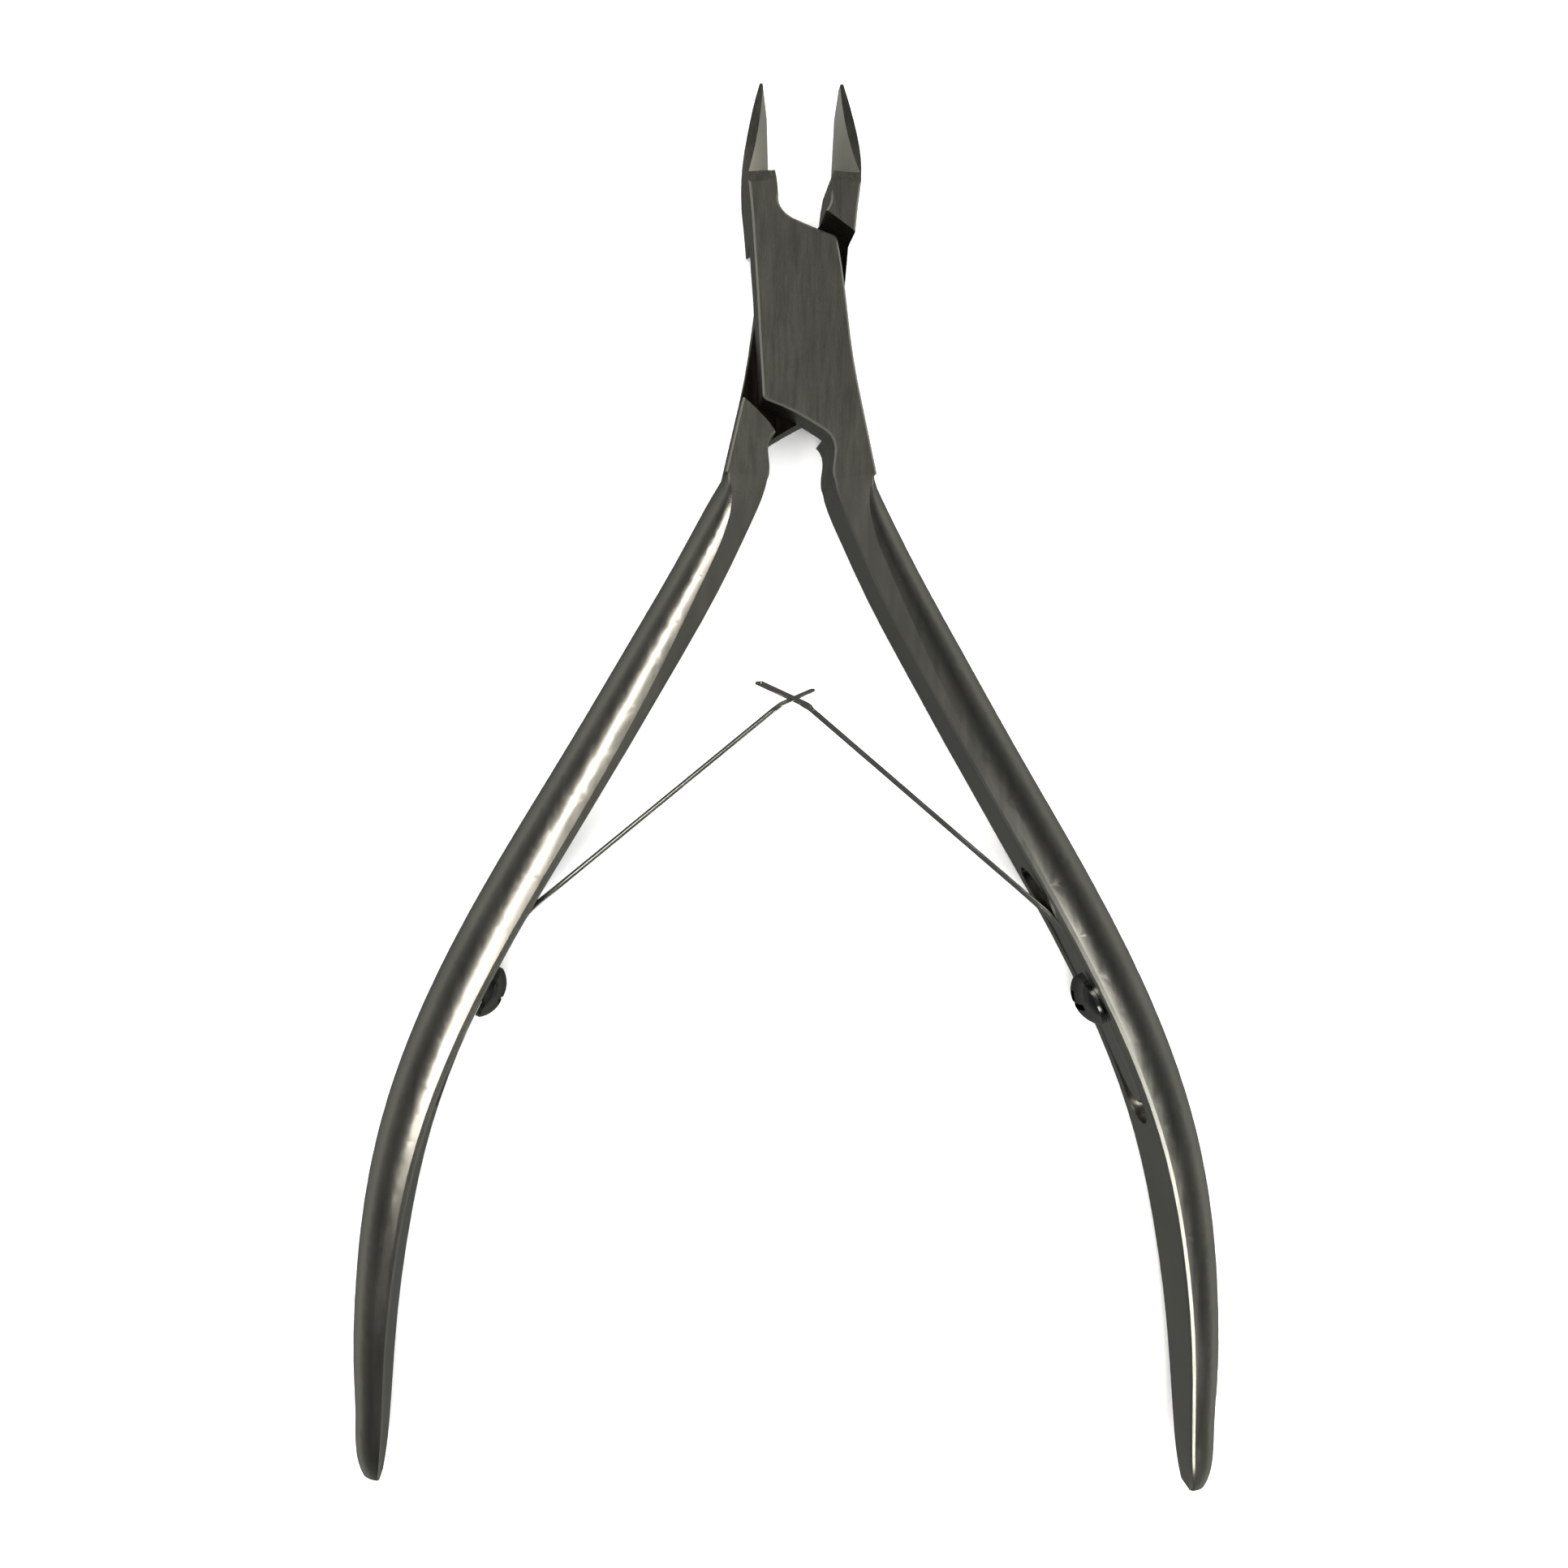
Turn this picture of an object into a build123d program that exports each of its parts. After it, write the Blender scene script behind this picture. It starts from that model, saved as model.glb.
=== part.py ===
from build123d import *
import os
from math import atan2, cos, degrees, hypot, radians, sin

# A cuticle nipper lying flat, jaws towards +Y, +Z up along the pivot axis.
# Origin: the pivot axis where it meets the back face that the nipper rests on.
# Both levers are one forging: the rear lever is the front lever turned over about
# the Y direction. Each is drawn closed, then swung open by half of the jaw angle.
# Millimetres and degrees throughout.

# Joint and laps
HALF_OPEN = 8.9          # each lever's swing from jaws shut to the rest position
JOINT_T = 6.4            # thickness of the joint, which is two laps
MID = JOINT_T / 2
LAP_GAP = 0.04           # running gap between the two laps
EDGE = 0.15              # broken edges of the levers
LAP_CORNER_R = 0.5
REACH = 30               # more than any lever feature, for cutters

# Jaw
TIP_Y = 19.05            # blade tip above the pivot
BEVEL_Y = 11.45          # where the ground bevel of the cutting edge ends
EDGE_X = -0.02           # cutting edge, just short of the plane where the blades meet
EDGE_STRAIGHT_Y = 16.5   # above this the cutting edge is straight
EDGE_RELIEF = 0.6        # below it the edge draws back from that plane by up to this much
EDGE_LAND = 0.05         # half thickness of the cutting edge
BEVEL_SLOPE = 1.5        # rise over run of the bevel beside the cutting edge
TAPER = [(10.6, 6.41), (14.8, 4.62), (19.3, 3.6)]   # jaw's upper side, (y, z), hollow ground

# Pivot rivet, its head ground flush with the back
PIN_R = 1.6
PIN_FIT = 0.03
PIN_TOP = 5.4
HEAD_R = 2.7
HEAD_T = 1.1

ROUNDNESS = 0.56         # how full the handle's rounded side is, 0.55 being an ellipse
FLANK_FALL = 0.05        # how far that side already falls beside its land

# Handle stations on its flat inner face:
# x, y, thickness across, height, width of the flat land along the inner edge
HANDLE = [
    (0.69, -11.0, 2.95, 6.376, 2.60),
    (0.64, -12.2, 3.14, 6.376, 2.72),
    (0.82, -13.6, 3.40, 6.20, 2.20),
    (1.32, -15.6, 3.60, 5.85, 1.55),
    (2.54, -19.9, 3.84, 5.50, 1.25),
    (4.82, -26.4, 3.98, 5.45, 0.85),
    (8.08, -35.0, 4.02, 5.60, 0.45),
    (11.82, -44.5, 4.04, 5.85, 0.32),
    (15.06, -53.6, 3.96, 5.95, 0.30),
    (17.00, -61.0, 3.80, 5.85, 0.28),
    (17.88, -67.0, 3.62, 5.60, 0.27),
    (18.12, -72.8, 3.38, 5.15, 0.26),
    (17.98, -78.2, 3.06, 4.55, 0.25),
    (17.58, -83.0, 2.74, 3.85, 0.23),
    (17.12, -87.0, 2.40, 3.15, 0.21),
    (16.87, -89.8, 2.10, 2.60, 0.18),
    (16.80, -91.4, 1.40, 1.75, 0.15),
]

# Leaf springs
LEAF_T = 0.26
LEAF_W = 3.0             # where the leaf is clamped
ARM_W = 2.0              # of its free arm
SLOT_HEAD_W = 4.2
TONGUE_W = 1.7
SLOT_W = 2.1
CHANNEL_W = 3.3
CHANNEL_DEPTH = 0.3
CHANNEL_RUN_OUT = 3.0    # the channel goes on past the clamped stretch, clear of the bending leaf
FLEX_SPLIT = 0.1         # gap in the leaf at its stand-in flexure
CLAMP = [(12.95, -47.3), (15.02, -53.6), (17.28, -61.9)]   # inner face behind the leaf, jaws shut
ARM_BEND = (0.95, -28.45)         # where the head turns, nipper at rest, own side +X
ARM_TURN_R = 1.6                  # radius of the bend where the leaf leaves the handle
HEAD_RISE = 0.45                  # slope of the head at rest
SLOT_HEAD_X = -2.7                # x of the slotted head's end
SLOT_X = (0.78, -1.95)            # x of the slot's two ends
TONGUE_X = -1.55                  # x of the tongue's end
TONGUE_ROOT_X = 1.15              # x where the leaf narrows to its tongue

# Leaf screws
SCREW_HEAD_R = 2.0
SCREW_HEAD_H = 1.3
SCREW_SHANK_R = 0.9
SCREW_HOLE_R = 0.93
SCREW_DEPTH = 2.7
LEAF_HOLE_R = 1.1
HEAD_LIFT = 0.05         # the screw's head seats on the curved leaf at its rim only


def at_rest(point, swing=HALF_OPEN):
    """A point drawn with the jaws shut, moved to the rest position."""
    a = radians(swing)
    return (point[0] * cos(a) - point[1] * sin(a), point[0] * sin(a) + point[1] * cos(a))


def turned_over(shape):
    """The same piece for the rear lever: turned over about Y at mid thickness."""
    return Plane.XY.offset(MID).location * Rotation(0, 180, 0) * Plane.XY.offset(-MID).location * shape


def towards(p, q, distance):
    """The point that lies distance from p on the way to q."""
    length = hypot(q[0] - p[0], q[1] - p[1])
    return (p[0] + (q[0] - p[0]) * distance / length, p[1] + (q[1] - p[1]) * distance / length)


# ---------------------------------------------------------------- levers
def lever_outline():
    """Plan of the jaw, the lap and the root of the handle, jaws shut."""
    corners = [(-3.76, -5.32), (3.34, 5.85)]
    with BuildSketch() as plan:
        with BuildLine():
            back = Spline((-0.25, TIP_Y), (-1.5, 16.0), (-2.35, 12.8), (-2.6, 8.8), (-2.88, 5.2),
                          (-3.1, 2.2), (-3.35, -0.4), (-3.52, -2.6), corners[0])
            foot = Spline(back @ 1, (-1.7, -6.55), (0.05, -7.95), (0.8, -8.75), (0.98, -9.6),
                          (0.72, -10.75), (0.62, -12.0))
            root = Line(foot @ 1, (3.78, -12.0))
            flank = Spline(root @ 1, (3.5, -7.5), (3.3, -2.6), (3.42, 2.3), corners[1])
            brow = Spline(flank @ 1, (2.17, 6.47), (0.89, 7.27), (-0.04, 7.95), (-0.43, 8.55), (-0.5, 9.4))
            wall = Line(brow @ 1, (-0.42, BEVEL_Y))
            nick = Line(wall @ 1, (EDGE_X - EDGE_RELIEF, BEVEL_Y + 0.05))
            cutting = Line(nick @ 1, (EDGE_X, EDGE_STRAIGHT_Y))
            nose = Line(cutting @ 1, (EDGE_X, TIP_Y))
            Line(nose @ 1, back @ 0)
        make_face()
        for x, y in corners:
            fillet(plan.vertices().sort_by_distance((x, y, 0))[0], LAP_CORNER_R)
    return plan.sketch


def jaw_cutters():
    """Everything ground off the jaw: its tapered upper and lower sides and both bevels."""
    (y0, z0), (y1, z1), (y2, z2) = TAPER
    with BuildSketch(Plane.YZ) as taper:
        with BuildLine():
            hollow = ThreePointArc((y0, z0), (y1, z1), (y2, z2))
            Polyline(hollow @ 1, (REACH, z2), (REACH, REACH), (y0, REACH), hollow @ 0)
        make_face()
    upper = extrude(taper.sketch, amount=REACH, both=True)

    lean = degrees(atan2(EDGE_RELIEF, EDGE_STRAIGHT_Y - BEVEL_Y))
    rise = REACH / 3
    with BuildSketch(Plane.XZ) as wedge:
        with BuildLine():
            Polyline((0, EDGE_LAND), (-rise / BEVEL_SLOPE, rise), (REACH, rise), (REACH, EDGE_LAND),
                     (0, EDGE_LAND))
        make_face()
    bevel = extrude(wedge.sketch, amount=-REACH)
    bevel = Pos(EDGE_X - EDGE_RELIEF, BEVEL_Y, MID) * Rotation(0, 0, -lean) * bevel
    bevel = bevel & Pos(0, BEVEL_Y, MID) * Box(REACH, REACH, REACH, align=(Align.CENTER, Align.MIN, Align.MIN))

    # the lower side is the upper side mirrored in the mid plane
    cutters = [upper, bevel]
    return cutters + [mirror(c, about=Plane.XY.offset(MID)) for c in cutters]


def lap_cutter():
    """The recess for the other lever's lap, between the jaw step and the handle step."""
    with BuildSketch() as plan:
        with BuildLine():
            jaw_step = Polyline((-6, 5.4), (0.0, 8.5), (1.0, 9.4), (6, 9.4), (6, -4.9))
            handle_step = Spline(jaw_step @ 1, (3.3, -6.4), (1.8, -7.4), (0.4, -8.75))
            Polyline(handle_step @ 1, (-1, -10.6), (-6, -10.6), jaw_step @ 0)
        make_face()
    return extrude(plan.sketch, amount=MID + LAP_GAP / 2)


def handle_section(index):
    """D-shaped section: flat inner face, broken corners, flat lands, rounded outside."""
    x, y, thick, high, land = HANDLE[index]
    ahead = HANDLE[max(index - 1, 0)]
    behind = HANDLE[min(index + 1, len(HANDLE) - 1)]
    along = Vector(behind[0] - ahead[0], behind[1] - ahead[1]).normalized()
    plane = Plane(origin=(x, y, MID), x_dir=Vector(-along.Y, along.X), z_dir=along)
    h = high / 2
    rim = EDGE + land
    fall = FLANK_FALL * h
    full = ROUNDNESS * (thick - rim)
    with BuildSketch(plane) as section:
        with BuildLine():
            inner = Line((0, -h + EDGE), (0, h - EDGE))
            Line(inner @ 1, (EDGE, h))
            Line((EDGE, h), (rim, h))
            Bezier((rim, h), (rim + full, h - fall), (thick, ROUNDNESS * h), (thick, 0))
            Bezier((thick, 0), (thick, -ROUNDNESS * h), (rim + full, -h + fall), (rim, -h))
            Line((rim, -h), (EDGE, -h))
            Line((EDGE, -h), inner @ 0)
        make_face()
    return section.sketch


def handle_body():
    """The curved handle, its sections carried along its inner face to a rounded end."""
    spine = Spline(*[(x, y, MID) for x, y, *_ in HANDLE])
    sections = [handle_section(i) for i in range(len(HANDLE))]
    return sweep(sections=sections, path=spine, multisection=True)


def clamp_frame():
    """Plane on the channel's floor at the screw, looking out of the handle."""
    into = Vector(CLAMP[2][1] - CLAMP[0][1], CLAMP[0][0] - CLAMP[2][0], 0).normalized()
    floor = Vector(*CLAMP[1], MID) - into * CHANNEL_DEPTH
    return Plane(origin=floor, x_dir=(0, 0, 1), z_dir=into)


def face_line(depth):
    """The three points of the inner face behind the leaf, sunk into the handle by depth."""
    into = clamp_frame().z_dir
    return [(x - into.X * depth, y - into.Y * depth) for x, y in CLAMP]


def channel_cutter():
    """The round-ended channel that the leaf lies in."""
    floor = face_line(CHANNEL_DEPTH)
    top = towards(floor[0], floor[1], -CHANNEL_RUN_OUT)
    into = clamp_frame().z_dir
    open_side = [(x + into.X * 3, y + into.Y * 3) for x, y in (floor[2], top)]
    with BuildSketch() as plan:
        with BuildLine():
            ThreePointArc(*floor)
            Polyline(floor[2], *open_side, top, floor[0])
        make_face()
    cutter = Pos(0, 0, MID - CHANNEL_W / 2) * extrude(plan.sketch, amount=CHANNEL_W)
    for x, y in (top, floor[2]):
        end = Plane(origin=(x, y, MID), z_dir=into)
        cutter += end * Cylinder(CHANNEL_W / 2, 3, align=(Align.CENTER, Align.CENTER, Align.MIN))
    return cutter


def is_rim(edge):
    """Long edges of the plan's two faces, without the ground blade and the handle's root."""
    middle = edge.center()
    flat = abs(abs(middle.Z - MID) - MID) < 0.01
    blade = middle.X > -0.6 and middle.Y > 9
    return flat and not blade and middle.Y > -11.9


def lever():
    """One forged lever, jaws shut: jaw on -X, handle on +X, lap on the upper half."""
    joint = extrude(lever_outline(), amount=JOINT_T)
    joint = chamfer(joint.edges().filter_by(is_rim), EDGE)
    for cutter in jaw_cutters():
        joint -= cutter
    blank = joint + handle_body()
    blank -= lap_cutter()
    blank -= channel_cutter()
    hole = clamp_frame() * Cylinder(SCREW_HOLE_R, SCREW_DEPTH + 0.2, align=(Align.CENTER, Align.CENTER, Align.MAX))
    return blank - hole


def front_lever(blank):
    """Lever with a blind hole, open at its lap, that the rivet is pressed into."""
    hole = Cylinder(PIN_R, PIN_TOP, align=(Align.CENTER, Align.CENTER, Align.MIN))
    return Rotation(0, 0, HALF_OPEN) * (blank - hole)


def rear_lever(blank):
    """Lever turned over, bored for the rivet and counterbored for its head."""
    bore = Cylinder(PIN_R + PIN_FIT, JOINT_T, align=(Align.CENTER, Align.CENTER, Align.MIN))
    seat = Cylinder(HEAD_R + PIN_FIT, HEAD_T + PIN_FIT, align=(Align.CENTER, Align.CENTER, Align.MIN))
    return Rotation(0, 0, -HALF_OPEN) * turned_over(blank) - bore - seat


def pivot_rivet():
    """Shaft pressed into the front lever, with a flush head in the rear lever."""
    shaft = Cylinder(PIN_R, PIN_TOP, align=(Align.CENTER, Align.CENTER, Align.MIN))
    return shaft + Cylinder(HEAD_R, HEAD_T, align=(Align.CENTER, Align.CENTER, Align.MIN))


# ---------------------------------------------------------------- leaf springs
def strip(edge, width):
    """Spring steel of one thickness along an edge, width measured along Z."""
    return Pos(0, 0, MID - width / 2) * extrude(trace(edge, LEAF_T), amount=width)


def leaf_path():
    """Leaf centre line at rest on the front lever's side: clamp, bend, arm and head."""
    clamp = [at_rest(p) for p in face_line(CHANNEL_DEPTH - LEAF_T / 2)]
    tail = ThreePointArc(clamp[2], clamp[1], clamp[0])
    out = towards(clamp[0], ARM_BEND, ARM_TURN_R * 0.45)
    bend = TangentArc(clamp[0], out, tangent=tail % 1)
    arm = Line(bend @ 1, ARM_BEND)
    return tail, bend, arm


def flexure():
    """Where the free arm is hinged in place of its bending, and the way the arm runs."""
    arm = leaf_path()[2]
    return arm @ 0 + (arm % 0) * (FLEX_SPLIT / 2), arm % 0


def leaf_base():
    """Clamped tail of a leaf, with the bend where it leaves the handle."""
    tail, bend, arm = leaf_path()
    body = strip(tail, LEAF_W) + strip(bend, ARM_W)
    frame = Rotation(0, 0, HALF_OPEN) * clamp_frame().location
    body -= frame * Cylinder(LEAF_HOLE_R, 4)
    corners = body.edges().filter_by(lambda e: abs(e.length - LEAF_T) < 0.01)
    return fillet(corners.sort_by_distance((tail @ 0) + Vector(0, 0, MID))[:2], LEAF_W * 0.45)


def head_edge(x0, x1):
    """Centre line of the head between two x stations."""
    bx, by = ARM_BEND
    return Line((x0, by + (bx - x0) * HEAD_RISE), (x1, by + (bx - x1) * HEAD_RISE))


def arm_edge(x_end):
    """Centre line of the straight arm, from the flexure to an x station."""
    arm = leaf_path()[2]
    start = arm @ 0 + (arm % 0) * FLEX_SPLIT
    share = (start.X - x_end) / (start.X - ARM_BEND[0])
    stop = start + (Vector(*ARM_BEND) - start) * share
    return Line(start, stop)


def slotted_arm():
    """Free arm that ends in a wide head with a slot."""
    body = strip(arm_edge(ARM_BEND[0]), ARM_W)
    body += strip(head_edge(ARM_BEND[0] + 0.05, SLOT_HEAD_X), SLOT_HEAD_W)
    slot = head_edge(*SLOT_X)
    cutter = Pos(0, 0, MID - SLOT_W / 2) * extrude(trace(slot, 2), amount=SLOT_W)
    return body - cutter


def tongued_arm():
    """Free arm that narrows to a tongue and passes through the other arm's slot."""
    body = strip(arm_edge(TONGUE_ROOT_X), ARM_W)
    body += strip(arm_edge(ARM_BEND[0]), TONGUE_W)
    body += strip(head_edge(ARM_BEND[0] + 0.05, TONGUE_X), TONGUE_W)
    return body


# ---------------------------------------------------------------- screws
def leaf_screw():
    """Domed screw with a cross recess, on the leaf and into the handle."""
    seat = LEAF_T + HEAD_LIFT
    with BuildSketch(Plane.XZ) as half:
        with BuildLine():
            Polyline((0, -SCREW_DEPTH), (SCREW_SHANK_R - 0.2, -SCREW_DEPTH),
                     (SCREW_SHANK_R, -SCREW_DEPTH + 0.2), (SCREW_SHANK_R, seat),
                     (SCREW_HEAD_R, seat), (SCREW_HEAD_R, seat + 0.35))
            ThreePointArc((SCREW_HEAD_R, seat + 0.35), (1.3, seat + 1.02), (0, seat + SCREW_HEAD_H))
            Line((0, seat + SCREW_HEAD_H), (0, -SCREW_DEPTH))
        make_face()
    screw = revolve(half.sketch, Axis.Z)
    for turn in (0, 90):
        recess = Rotation(0, 0, turn) * Box(2.3, 0.5, 1.2)
        screw -= Pos(0, 0, seat + SCREW_HEAD_H) * recess
    return Rotation(0, 0, HALF_OPEN) * (clamp_frame() * screw)


# ---------------------------------------------------------------- assembly
blank = lever()
pieces = {
    "front_lever": front_lever(blank),
    "rear_lever": rear_lever(blank),
    "pivot_rivet": pivot_rivet(),
    "right_leaf_base": leaf_base(),
    "right_leaf_arm": slotted_arm(),
    "right_leaf_screw": leaf_screw(),
    "left_leaf_base": turned_over(leaf_base()),
    "left_leaf_arm": turned_over(tongued_arm()),
    "left_leaf_screw": turned_over(leaf_screw()),
}
os.makedirs("parts", exist_ok=True)
for node, piece in pieces.items():
    export_step(piece, f"parts/{node}.step")
hinge, _ = flexure()
print("right flexure at", round(hinge.X, 3), round(hinge.Y, 3), "and the left one mirrored in X")
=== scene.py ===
from math import atan2, cos, pi, radians, sin

import bmesh
import bpy
from mathutils import Matrix, Vector


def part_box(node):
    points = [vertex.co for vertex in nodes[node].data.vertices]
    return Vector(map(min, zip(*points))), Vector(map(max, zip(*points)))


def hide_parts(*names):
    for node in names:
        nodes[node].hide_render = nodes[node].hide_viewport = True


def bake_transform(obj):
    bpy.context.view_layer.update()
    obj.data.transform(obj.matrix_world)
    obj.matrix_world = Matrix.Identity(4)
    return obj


MM = 0.001

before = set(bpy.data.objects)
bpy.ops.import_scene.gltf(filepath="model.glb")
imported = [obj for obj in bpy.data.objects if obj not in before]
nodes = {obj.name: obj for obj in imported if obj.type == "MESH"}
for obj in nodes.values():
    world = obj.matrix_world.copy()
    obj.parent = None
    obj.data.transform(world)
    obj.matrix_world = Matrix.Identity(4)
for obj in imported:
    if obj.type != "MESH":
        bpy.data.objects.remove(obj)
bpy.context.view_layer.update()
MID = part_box("front_lever")[1].z / 2      # plane between the two laps
JOINT_END = -12 * MM                      # y where the flat joint ends and the handles begin
BEVEL_START = 11.2 * MM                   # y where the blades' bevels begin
LAP_SKIN = 0.1 * MM                       # a lap's sliding face is within this of the middle
RIM_DEPTH = 0.2 * MM                      # the broken edges lie within this of the outer faces

# Camera, close above the nipper
CAMERA_LENS = 28.4
CAMERA_AT = Vector((-11.94, -27.5, 97.8)) * MM
CAMERA_SHIFT = (0.0937, -0.060)
CAMERA_ROLL = 0.72

# Leaf springs, the front lever's side, nipper at rest (millimetres)
LEAF_T = 0.26
LEAF_W = 3.0                              # where the leaf is clamped
ARM_W = 2.0                               # of its free arm
LEAF_EDGE = 0.06                          # broken edges of the strip
SLOT_HEAD_W = 4.2
SLOT_W = 2.1
TONGUE_W = 1.7
HALF_OPEN = radians(8.9)                  # each lever's swing from jaws shut to rest
FACE_SHUT = [(17.28, -61.9), (15.02, -53.6), (12.95, -47.3)]   # handle's face behind the leaf, jaws shut
LEAF_DEPTH = 0.15                         # the clamped leaf's centre line lies this deep in the handle
ARM_BEND = (0.95, -28.45)                 # where the head turns
HEAD_RISE = 0.45                          # slope of the head
HEAD_BLEND = 0.2                          # the strip changes its width this far before the bend
SLOT_HEAD_X = -2.7                        # x of the slotted head's end
SLOT_X = (0.78, -1.95)                    # x of the slot's two ends
TONGUE_X = -1.55                          # x of the tongue's end
TONGUE_ROOT_X = 1.15                      # x where the leaf narrows to its tongue


# ---------------------------------------------------------------- camera
def add_camera():
    """Looks straight down at the nipper, which lies off its axis: hence the shift."""
    data = bpy.data.cameras.new("camera")
    camera = bpy.data.objects.new("camera", data)
    bpy.context.scene.collection.objects.link(camera)
    bpy.context.scene.camera = camera
    data.sensor_width = 36
    data.lens = CAMERA_LENS
    data.shift_x, data.shift_y = CAMERA_SHIFT
    data.clip_start = 0.005
    camera.location = CAMERA_AT
    camera.rotation_euler = (0, 0, radians(CAMERA_ROLL))


# ---------------------------------------------------------------- material helpers
class Nodes:
    """A short way to add and join shader nodes."""

    def __init__(self, name):
        self.material = bpy.data.materials.new(name)
        self.material.use_nodes = True
        self.tree = self.material.node_tree
        self.shader = self.tree.nodes["Principled BSDF"]
        self.place = self.add("ShaderNodeTexCoord").outputs["Object"]

    def add(self, kind, **values):
        node = self.tree.nodes.new(kind)
        for key, value in values.items():
            setattr(node, key, value)
        return node

    def link(self, source, target):
        self.tree.links.new(source, target)

    def feed(self, value, socket):
        if hasattr(value, "links"):
            self.link(value, socket)
        else:
            socket.default_value = value

    def math(self, operation, a, b=0.0):
        node = self.add("ShaderNodeMath", operation=operation)
        self.feed(a, node.inputs[0])
        self.feed(b, node.inputs[1])
        return node.outputs[0]

    def noise(self, scale, detail=3.0, rough=0.5, turn=0.0):
        """Noise with its own size along X, Y and Z; turn swings the grain in plan."""
        mapping = self.add("ShaderNodeMapping")
        self.link(self.place, mapping.inputs["Vector"])
        mapping.inputs["Rotation"].default_value = (0, 0, radians(turn))
        mapping.inputs["Scale"].default_value = scale
        node = self.add("ShaderNodeTexNoise")
        node.inputs["Scale"].default_value = 1.0
        node.inputs["Detail"].default_value = detail
        node.inputs["Roughness"].default_value = rough
        self.link(mapping.outputs["Vector"], node.inputs["Vector"])
        return node.outputs["Fac"]

    def remap(self, value, a, b, c, d):
        node = self.add("ShaderNodeMapRange")
        self.feed(value, node.inputs["Value"])
        for name, number in zip(("From Min", "From Max", "To Min", "To Max"), (a, b, c, d)):
            node.inputs[name].default_value = number
        return node.outputs["Result"]

    def mix(self, share, a, b):
        node = self.add("ShaderNodeMix", data_type="RGBA")
        self.feed(share, node.inputs["Factor"])
        self.feed(a, node.inputs["A"])
        self.feed(b, node.inputs["B"])
        return node.outputs["Result"]

    def bump(self, height, strength, distance):
        node = self.add("ShaderNodeBump")
        node.inputs["Strength"].default_value = strength
        node.inputs["Distance"].default_value = distance
        self.feed(height, node.inputs["Height"])
        self.link(node.outputs["Normal"], self.shader.inputs["Normal"])

    def into(self, **sockets):
        for name, value in sockets.items():
            self.feed(value, self.shader.inputs[name.replace("_", " ")])


def lever_steel():
    """Stainless steel: joint brushed lengthwise, handles polished; painted shade makes the laps black
    and a painted highlight makes the broken edges and cutting bevels bright.
    """
    m = Nodes("lever_steel")
    brush = m.noise((6000, 900, 6000), detail=4, rough=0.65, turn=-6)
    stroke = m.noise((2600, 260, 2600), detail=4, rough=0.6, turn=-6)
    polish = m.noise((1500, 160, 1500), detail=2)
    cloud = m.noise((140, 140, 140), detail=3)

    where = m.add("ShaderNodeSeparateXYZ")
    m.link(m.place, where.inputs[0])
    facing = m.add("ShaderNodeSeparateXYZ")
    m.link(m.add("ShaderNodeNewGeometry").outputs["True Normal"], facing.inputs[0])
    upright = m.math("ABSOLUTE", facing.outputs["Z"])
    from_middle = m.math("ABSOLUTE", m.math("SUBTRACT", where.outputs["Z"], MID))

    # a lap's sliding face lies near mid thickness and faces up or down
    level = m.math("GREATER_THAN", upright, 0.9)
    lap = m.math("MULTIPLY", level, m.math("LESS_THAN", from_middle, LAP_SKIN))
    # the joint is brushed down to where the handles begin
    joint = m.remap(where.outputs["Y"], JOINT_END - 2 * MM, JOINT_END + 1 * MM, 0, 1)
    # broken edges and cutting bevels lean between level and upright
    leaning = m.math("MULTIPLY", m.math("GREATER_THAN", upright, 0.3), m.math("LESS_THAN", upright, 0.8))
    rim = m.math("GREATER_THAN", from_middle, MID - RIM_DEPTH)
    blade = m.math("GREATER_THAN", where.outputs["Y"], BEVEL_START)
    # painted highlight: mask of the joint's broken edges and cutting bevels, which get a pale, bright
    # colour
    painted_edge_highlight = m.math("MULTIPLY", m.math("MULTIPLY", leaning, joint), m.math("MAXIMUM", rim, blade))

    satin = m.mix(m.remap(cloud, 0.3, 0.7, 0, 1), (0.36, 0.36, 0.33, 1), (0.45, 0.44, 0.40, 1))
    satin = m.mix(m.remap(stroke, 0.35, 0.65, 0, 0.6), satin, (0.21, 0.208, 0.185, 1))
    satin = m.mix(m.remap(brush, 0.4, 0.7, 0, 0.5), satin, (0.16, 0.158, 0.14, 1))
    gloss = m.mix(m.remap(cloud, 0.3, 0.7, 0, 1), (0.37, 0.365, 0.335, 1), (0.44, 0.425, 0.39, 1))
    tone = m.mix(joint, gloss, satin)
    # painted highlight: pale base colour on those edges stands in for the bright lines they catch from
    # the lamps
    tone = m.mix(painted_edge_highlight, tone, (0.78, 0.76, 0.70, 1))
    # painted shade: near-black colour on the laps' sliding faces stands in for the shadow in the recess
    # between the levers
    black = m.mix(m.remap(stroke, 0.3, 0.7, 0, 1), (0.008, 0.007, 0.006, 1), (0.03, 0.024, 0.018, 1))
    m.into(Base_Color=m.mix(lap, tone, black), Metallic=1.0)

    fine = m.remap(brush, 0.3, 0.7, 0.28, 0.42)
    smooth = m.remap(polish, 0.3, 0.7, 0.21, 0.27)
    handle = m.math("SUBTRACT", 1.0, joint)
    rough = m.math("ADD", m.math("MULTIPLY", fine, joint), m.math("MULTIPLY", smooth, handle))
    m.into(Roughness=m.math("MAXIMUM", rough, m.math("MULTIPLY", lap, 0.6)))
    height = m.math("ADD", m.math("MULTIPLY", brush, joint), m.math("MULTIPLY", polish, 0.02))
    m.bump(height, 0.35, 0.006 * MM)
    return m.material


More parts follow.
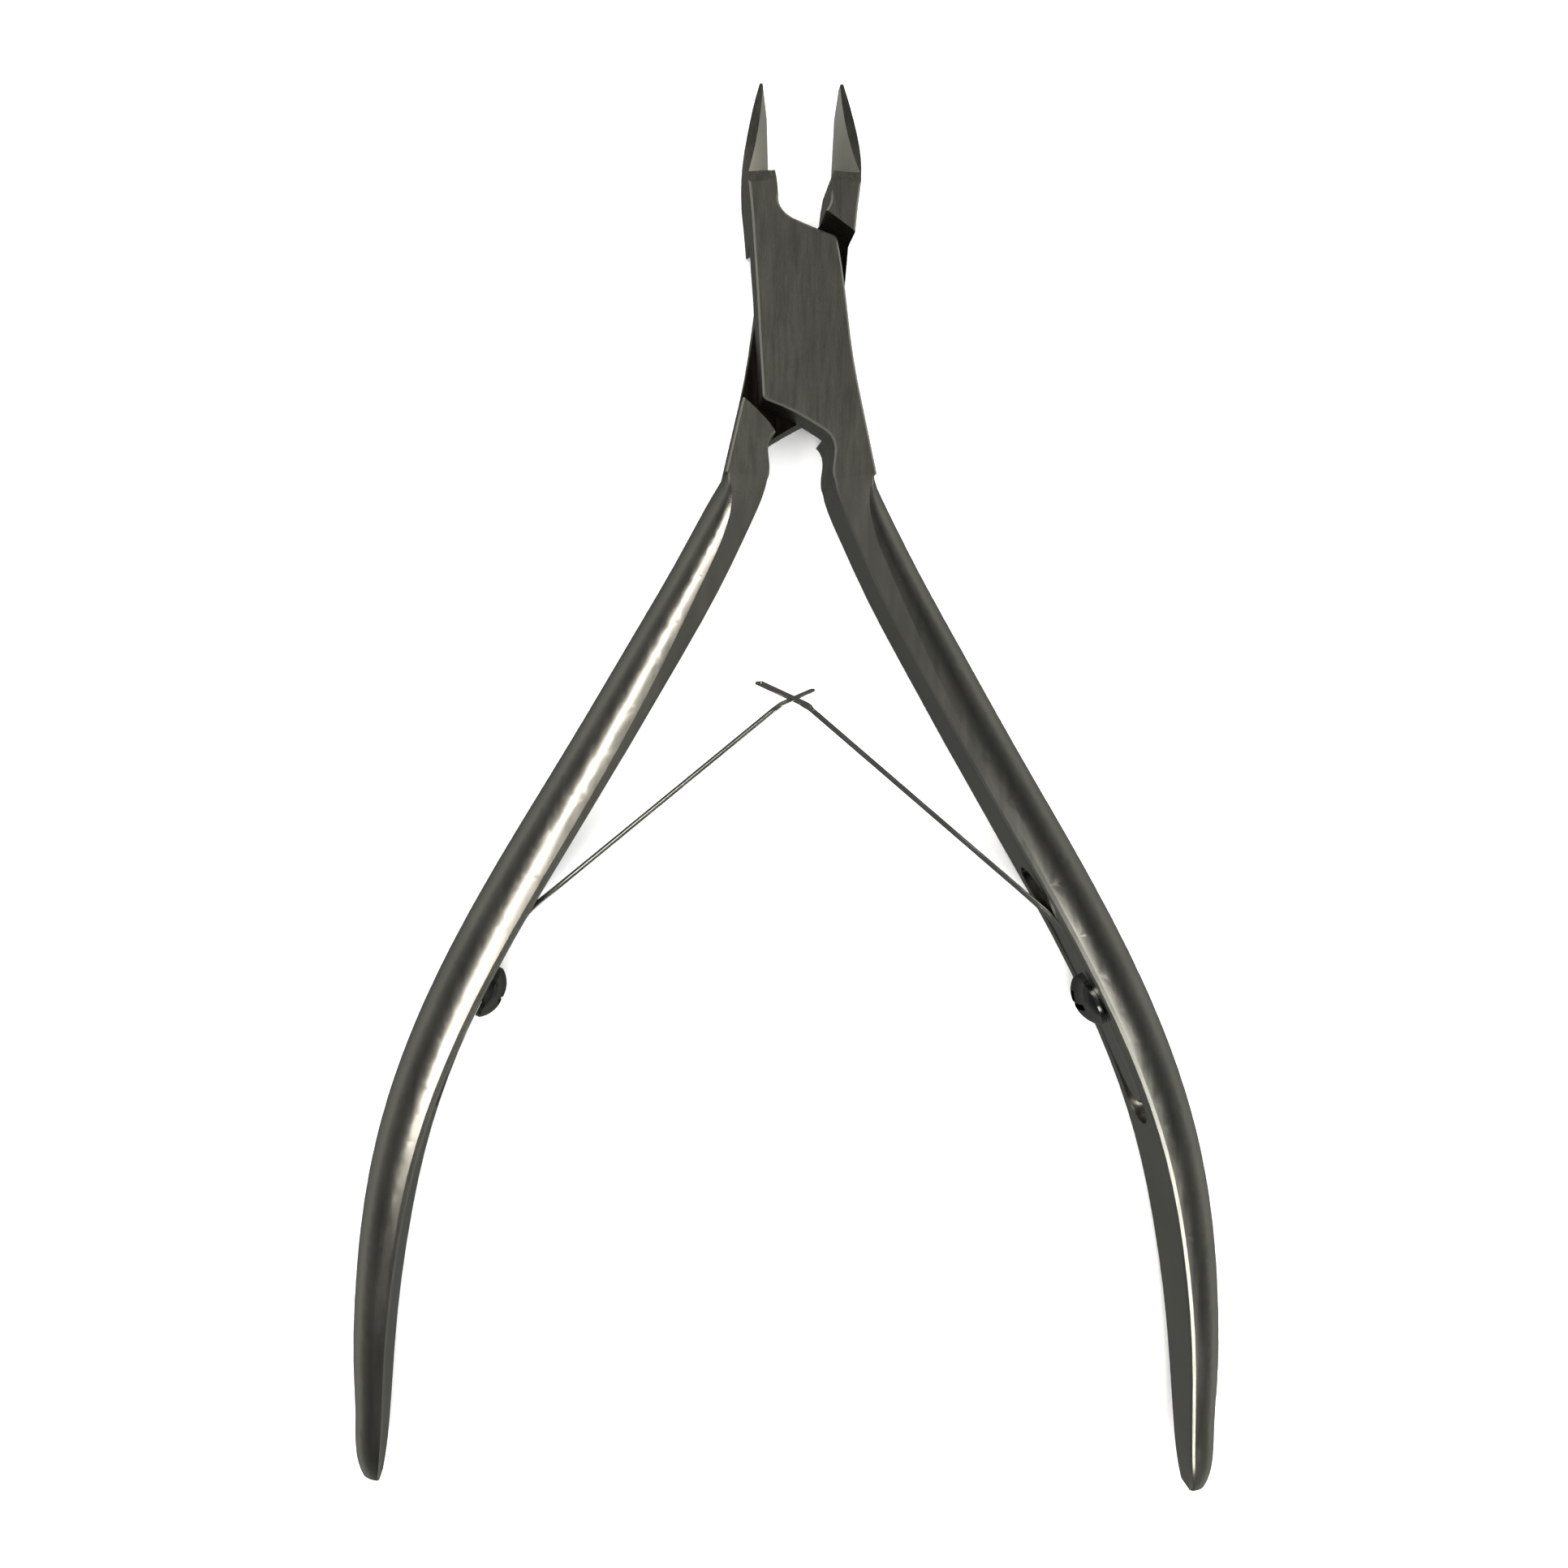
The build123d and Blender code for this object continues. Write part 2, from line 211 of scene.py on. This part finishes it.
def rivet_steel():
    """The rivet's head, made flush by grinding: round grinding marks."""
    m = Nodes("rivet_steel")
    rings = m.add("ShaderNodeTexWave", wave_type="RINGS", rings_direction="Z")
    m.link(m.place, rings.inputs["Vector"])
    rings.inputs["Scale"].default_value = 1500
    rings.inputs["Distortion"].default_value = 1.5
    grain = m.noise((4000, 4000, 4000), detail=3)
    m.into(Base_Color=m.mix(grain, (0.36, 0.36, 0.34, 1), (0.46, 0.45, 0.42, 1)), Metallic=1.0)
    m.into(Roughness=m.remap(rings.outputs["Fac"], 0, 1, 0.24, 0.38))
    m.bump(m.math("ADD", rings.outputs["Fac"], grain), 0.2, 0.004 * MM)
    return m.material


def spring_steel():
    """Thin bright spring strip with fine rolling lines."""
    m = Nodes("spring_steel")
    lines = m.noise((500, 500, 9000), detail=3)
    m.into(Base_Color=m.mix(lines, (0.36, 0.36, 0.35, 1), (0.52, 0.52, 0.50, 1)), Metallic=1.0)
    m.into(Roughness=m.remap(lines, 0.3, 0.7, 0.14, 0.26))
    m.bump(lines, 0.15, 0.003 * MM)
    return m.material


def screw_steel():
    """Near-black, glossy screw."""
    m = Nodes("screw_steel")
    haze = m.noise((900, 900, 900), detail=4)
    m.into(Base_Color=m.mix(haze, (0.10, 0.10, 0.10, 1), (0.20, 0.20, 0.195, 1)), Metallic=1.0)
    m.into(Roughness=m.remap(haze, 0.3, 0.7, 0.10, 0.22))
    m.bump(haze, 0.1, 0.01 * MM)
    return m.material


def paint(obj, material):
    """Every slot of a piece gets the material."""
    if not obj.material_slots:
        obj.data.materials.append(material)
    for slot in obj.material_slots:
        slot.material = material


# ---------------------------------------------------------------- leaf springs
def clamped_stretch():
    """Three points of the clamped leaf's centre line at rest, tail first."""
    tail, middle, top = (Vector(point) for point in FACE_SHUT)
    into = Vector((top.y - tail.y, tail.x - top.x)).normalized()
    swing = Matrix.Rotation(HALF_OPEN, 2)
    return [swing @ (point + into * LEAF_DEPTH) for point in (tail, middle, top)]


CLAMP = clamped_stretch()


def arc_points(a, b, c, count):
    """Points along the circle through a, b and c, from a to c."""
    (ax, ay), (bx, by), (cx, cy) = a, b, c
    d = 2 * (ax * (by - cy) + bx * (cy - ay) + cx * (ay - by))
    sq = [p[0] ** 2 + p[1] ** 2 for p in (a, b, c)]
    ux = (sq[0] * (by - cy) + sq[1] * (cy - ay) + sq[2] * (ay - by)) / d
    uy = (sq[0] * (cx - bx) + sq[1] * (ax - cx) + sq[2] * (bx - ax)) / d
    start = atan2(ay - uy, ax - ux)
    sweep = (atan2(cy - uy, cx - ux) - start + pi) % (2 * pi) - pi
    r = ((ax - ux) ** 2 + (ay - uy) ** 2) ** 0.5
    turns = [start + sweep * i / count for i in range(count + 1)]
    return [(ux + r * cos(t), uy + r * sin(t)) for t in turns]


def line_points(p, q, step):
    """Points from p to q about a step apart, p left out."""
    length = ((q[0] - p[0]) ** 2 + (q[1] - p[1]) ** 2) ** 0.5
    count = max(1, round(length / step))
    shares = [i / count for i in range(1, count + 1)]
    return [(p[0] + (q[0] - p[0]) * s, p[1] + (q[1] - p[1]) * s) for s in shares]


def smooth_step(t):
    """Rises smoothly from 0 to 1 while t does."""
    t = min(max(t, 0.0), 1.0)
    return t * t * (3 - 2 * t)


def head_point(x):
    """Point of the head's centre line at x."""
    return (x, ARM_BEND[1] + (ARM_BEND[0] - x) * HEAD_RISE)


def rounded(points):
    """The same line with each inner point drawn towards its neighbours."""
    threes = zip(points, points[1:], points[2:])
    inner = [tuple((a + 2 * b + c) / 4 for a, b, c in zip(*three)) for three in threes]
    return [points[0]] + inner + [points[-1]]


def leaf_line(end_x):
    """Centre line of a leaf from its tail to the end of its head, and the lengths along it."""
    points = arc_points(*CLAMP, 24)
    points += line_points(points[-1], ARM_BEND, 0.5)
    points += line_points(ARM_BEND, head_point(end_x), 0.12)
    for _ in range(3):
        points = rounded(points)
    run = [0.0]
    for p, q in zip(points, points[1:]):
        run.append(run[-1] + ((q[0] - p[0]) ** 2 + (q[1] - p[1]) ** 2) ** 0.5)
    return points, run


def leaf_mesh(name, slotted):
    """A leaf as one sheet with thickness: rounded tail, long arm, slotted head or tongue."""
    points, run = leaf_line(SLOT_HEAD_X if slotted else TONGUE_X)
    neck = LEAF_W / 2
    clamped = max(s for (x, y), s in zip(points, run) if y < CLAMP[2][1])
    rows = []
    for (x, y), s in zip(points, run):
        tail = min(s, neck)
        half = max((neck ** 2 - (neck - tail) ** 2) ** 0.5, 0.5)
        half -= (LEAF_W - ARM_W) / 2 * smooth_step((s - clamped) / LEAF_W)
        in_head = slotted and x < ARM_BEND[0] + HEAD_BLEND
        if in_head:
            half = SLOT_HEAD_W / 2
        if not slotted and x < TONGUE_ROOT_X + HEAD_BLEND:
            half = TONGUE_W / 2
        inner = SLOT_W / 2 if in_head else half / 2
        rows.append((x, y, [-half, -inner, inner, half]))
    bm = bmesh.new()
    grid = [[bm.verts.new((x * MM, y * MM, MID + z * MM)) for z in zs] for x, y, zs in rows]
    for i in range(len(grid) - 1):
        middle = (rows[i][0] + rows[i + 1][0]) / 2
        for k in range(3):
            if slotted and k == 1 and SLOT_X[1] < middle < SLOT_X[0]:
                continue
            bm.faces.new((grid[i][k], grid[i][k + 1], grid[i + 1][k + 1], grid[i + 1][k]))
    mesh = bpy.data.meshes.new(name)
    bm.to_mesh(mesh)
    bm.free()
    piece = bpy.data.objects.new(name, mesh)
    bpy.context.scene.collection.objects.link(piece)
    thick = piece.modifiers.new("thickness", "SOLIDIFY")
    thick.thickness = LEAF_T * MM
    thick.offset = 0
    soft = piece.modifiers.new("edges", "BEVEL")
    soft.width = LEAF_EDGE * MM
    soft.segments = 2
    soft.limit_method = "ANGLE"
    soft.angle_limit = radians(50)
    bpy.context.view_layer.update()
    final = bpy.data.meshes.new_from_object(piece.evaluated_get(bpy.context.evaluated_depsgraph_get()))
    piece.modifiers.clear()
    piece.data = final
    for face in final.polygons:
        face.use_smooth = True
    final.set_sharp_from_angle(angle=radians(40))
    return piece


def add_leaf(side, slotted):
    """One continuous leaf, bending from the lever that clamps it into its free arm."""
    leaf = leaf_mesh(side + "_leaf", slotted)
    if side == "left":
        leaf.data.transform(Matrix.Diagonal((-1, 1, 1, 1)))
        leaf.data.flip_normals()
    paint(leaf, SPRING)
    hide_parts(side + "_leaf_base", side + "_leaf_arm")
    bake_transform(leaf)


# ---------------------------------------------------------------- stage
def add_floor():
    """White floor; it isn't mirrored in the steel."""
    bpy.ops.mesh.primitive_plane_add(size=4, location=(0, 0, -0.02 * MM))
    floor = bpy.context.object
    floor.name = "floor"
    m = Nodes("floor")
    m.into(Base_Color=(0.86, 0.86, 0.86, 1), Roughness=0.9)
    paint(floor, m.material)
    floor.visible_glossy = False


def add_panel(name, at, size, power, colour=(1, 1, 1), glossy=True):
    """A soft box that leans over towards the nipper's long axis; its first side runs along that axis."""
    data = bpy.data.lights.new(name, "AREA")
    data.shape = "RECTANGLE"
    data.size, data.size_y = size
    data.energy = power
    data.color = colour
    lamp = bpy.data.objects.new(name, data)
    bpy.context.scene.collection.objects.link(lamp)
    lamp.location = at
    aim = Vector((0, lamp.location.y, 0)) - lamp.location
    lamp.rotation_euler = aim.to_track_quat("-Z", "Y").to_euler()
    lamp.visible_glossy = glossy


def add_world():
    """Dim room: palest round the horizon, darker above it and below."""
    world = bpy.data.worlds.new("world")
    bpy.context.scene.world = world
    world.use_nodes = True
    tree = world.node_tree
    back = tree.nodes["Background"]
    place = tree.nodes.new("ShaderNodeTexCoord")
    axes = tree.nodes.new("ShaderNodeSeparateXYZ")
    tree.links.new(place.outputs["Generated"], axes.inputs[0])
    ramp = tree.nodes.new("ShaderNodeValToRGB")
    span = tree.nodes.new("ShaderNodeMapRange")
    span.inputs["From Min"].default_value = -1
    tree.links.new(axes.outputs["Z"], span.inputs["Value"])
    tree.links.new(span.outputs["Result"], ramp.inputs["Fac"])
    stops = ramp.color_ramp.elements
    stops[0].position, stops[0].color = 0.0, (0.08, 0.082, 0.076, 1)
    stops[1].position, stops[1].color = 1.0, (0.16, 0.163, 0.152, 1)
    for position, grey in ((0.25, 0.24), (0.48, 0.34), (0.62, 0.15), (0.8, 0.035), (0.92, 0.10)):
        stop = stops.new(position)
        stop.color = (grey, grey * 1.02, grey * 0.95, 1)
    tree.links.new(ramp.outputs["Color"], back.inputs["Color"])
    back.inputs["Strength"].default_value = 1.0


# ---------------------------------------------------------------- the scene
add_camera()
STEEL = lever_steel()
SPRING = spring_steel()
paint(nodes["front_lever"], STEEL)
paint(nodes["rear_lever"], STEEL)
paint(nodes["pivot_rivet"], rivet_steel())
SCREW = screw_steel()
paint(nodes["right_leaf_screw"], SCREW)
paint(nodes["left_leaf_screw"], SCREW)
for node in ("right_leaf_base", "right_leaf_arm", "left_leaf_base", "left_leaf_arm"):
    paint(nodes[node], SPRING)
add_leaf("right", True)
add_leaf("left", False)

add_floor()
add_world()
add_panel("floor_light", (0, -0.035, 0.8), (1.2, 1.2), 22, glossy=False)
add_panel("left_box", (-0.30, 0.15, 0.55), (0.8, 0.09), 1.8, colour=(1, 0.96, 0.88))
add_panel("right_box", (0.30, -0.35, 0.50), (0.55, 0.07), 0.8, colour=(1, 1, 0.94))
bpy.context.scene.view_settings.view_transform = "Standard"
bpy.context.scene.view_settings.look = "None"
